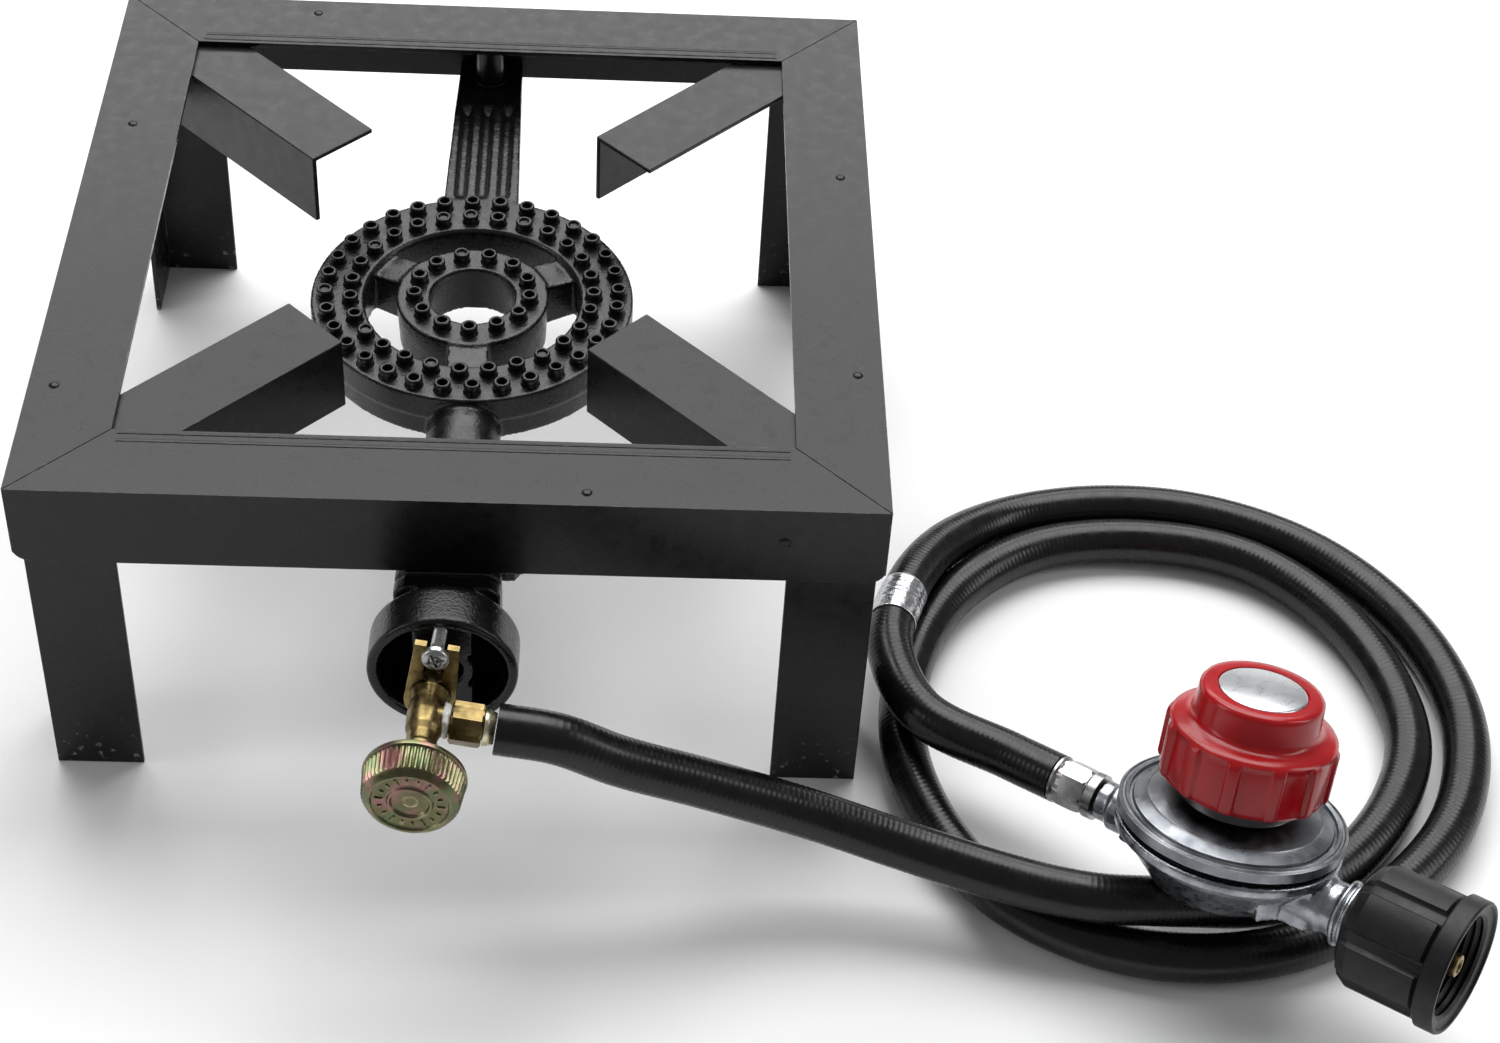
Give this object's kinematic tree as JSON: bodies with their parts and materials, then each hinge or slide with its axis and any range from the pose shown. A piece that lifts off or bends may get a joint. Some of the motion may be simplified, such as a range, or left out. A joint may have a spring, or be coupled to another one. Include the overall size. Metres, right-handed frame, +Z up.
{
  "type": "propane burner stand",
  "caption": "Square angle-iron stand with pot supports, a hanging cast-iron ring burner, needle valve, gas hose and adjustable regulator with hand nut.",
  "frame": {"origin": "on the ground, under the middle of the stand and valve, hose and regulator left out", "axes": "+Z up, -Y to the valve and knob at the front, +X to the hose"},
  "size_m": [0.5391, 0.4391, 0.139],
  "materials": {
    "black_paint": "satin black paint",
    "black_cast_iron": "painted cast iron, semi-gloss",
    "brass": "machined, dull",
    "yellow_chromate": "yellow chromate on zinc",
    "thread_tape": "matt",
    "black_rubber": "ribbed, semi-gloss",
    "silver_foil": "bright foil",
    "die_cast_zinc": "as cast, bright",
    "red_plastic": "gloss",
    "black_plastic": "moulded, matt",
    "zinc_plated_steel": "zinc plated"
  },
  "bodies": {
    "stand": {"air_mixer_bell": "black_cast_iron", "bracket_screw": "zinc_plated_steel", "burner_casting": "black_cast_iron", "crimp_ferrule": "zinc_plated_steel", "diaphragm_plate": "zinc_plated_steel", "front_nut": "black_paint", "front_spacer": "black_paint", "front_stud": "black_paint", "front_washer": "black_paint", "hose": "black_rubber", "hose_barb": "zinc_plated_steel", "hose_label": "silver_foil", "hose_nut": "brass", "leg_back_left": "black_paint", "leg_back_right": "black_paint", "leg_front_left": "black_paint", "leg_front_right": "black_paint", "nipple_seal": "black_rubber", "packing_nut": "brass", "pot_support_back_left": "black_paint", "pot_support_back_right": "black_paint", "pot_support_front_left": "black_paint", "pot_support_front_right": "black_paint", "rail_back": "black_paint", "rail_front": "black_paint", "rail_left": "black_paint", "rail_right": "black_paint", "rear_nut": "black_paint", "rear_spacer": "black_paint", "rear_stud": "black_paint", "rear_washer": "black_paint", "regulator_body": "die_cast_zinc", "regulator_bonnet": "die_cast_zinc", "regulator_diaphragm": "black_rubber", "regulator_spring": "zinc_plated_steel", "tank_nipple": "brass", "thread_tape": "thread_tape", "valve_body": "brass", "valve_bracket": "brass", "valve_jet": "brass"},
    "needle": {"valve_needle": "zinc_plated_steel"},
    "knob": {"valve_knob": "yellow_chromate"},
    "adjuster": {"adjusting_screw": "zinc_plated_steel", "spring_plate": "zinc_plated_steel"},
    "cap": {"regulator_knob": "red_plastic", "knob_label_disc": "silver_foil"},
    "hand_nut": {"tank_nut": "black_plastic"}
  },
  "joints": [
    {"name": "valve_lift", "type": "slide", "parent": "stand", "child": "needle", "axis": [-0.0698, -0.9976, 0], "range_m": [0, 0.0012]},
    {"name": "valve_turn", "type": "hinge", "parent": "needle", "child": "knob", "pos_m": [-0.00387, -0.13262, 0.09115], "axis": [-0.0698, -0.9976, 0], "range_deg": [0, 540]},
    {"name": "regulator_lift", "type": "slide", "parent": "stand", "child": "adjuster", "axis": [-0.0956, -0.3066, -0.947], "range_m": [0, 0.0045], "deforming": ["regulator_spring"]},
    {"name": "regulator_turn", "type": "hinge", "parent": "adjuster", "child": "cap", "pos_m": [0.2706, -0.16659, 0.04], "axis": [-0.0956, -0.3066, -0.947], "range_deg": [0, 1080]},
    {"name": "tank_nut_spin", "type": "hinge", "parent": "stand", "child": "hand_nut", "pos_m": [0.2706, -0.16659, 0.04], "axis": [0.7835, -0.61, 0.1184], "continuous": true}
  ],
  "couplings": [
    {"joint": "valve_lift", "follows": "valve_turn", "m_per_rad": 0.0001273},
    {"joint": "regulator_lift", "follows": "regulator_turn", "m_per_rad": 0.0002387}
  ]
}
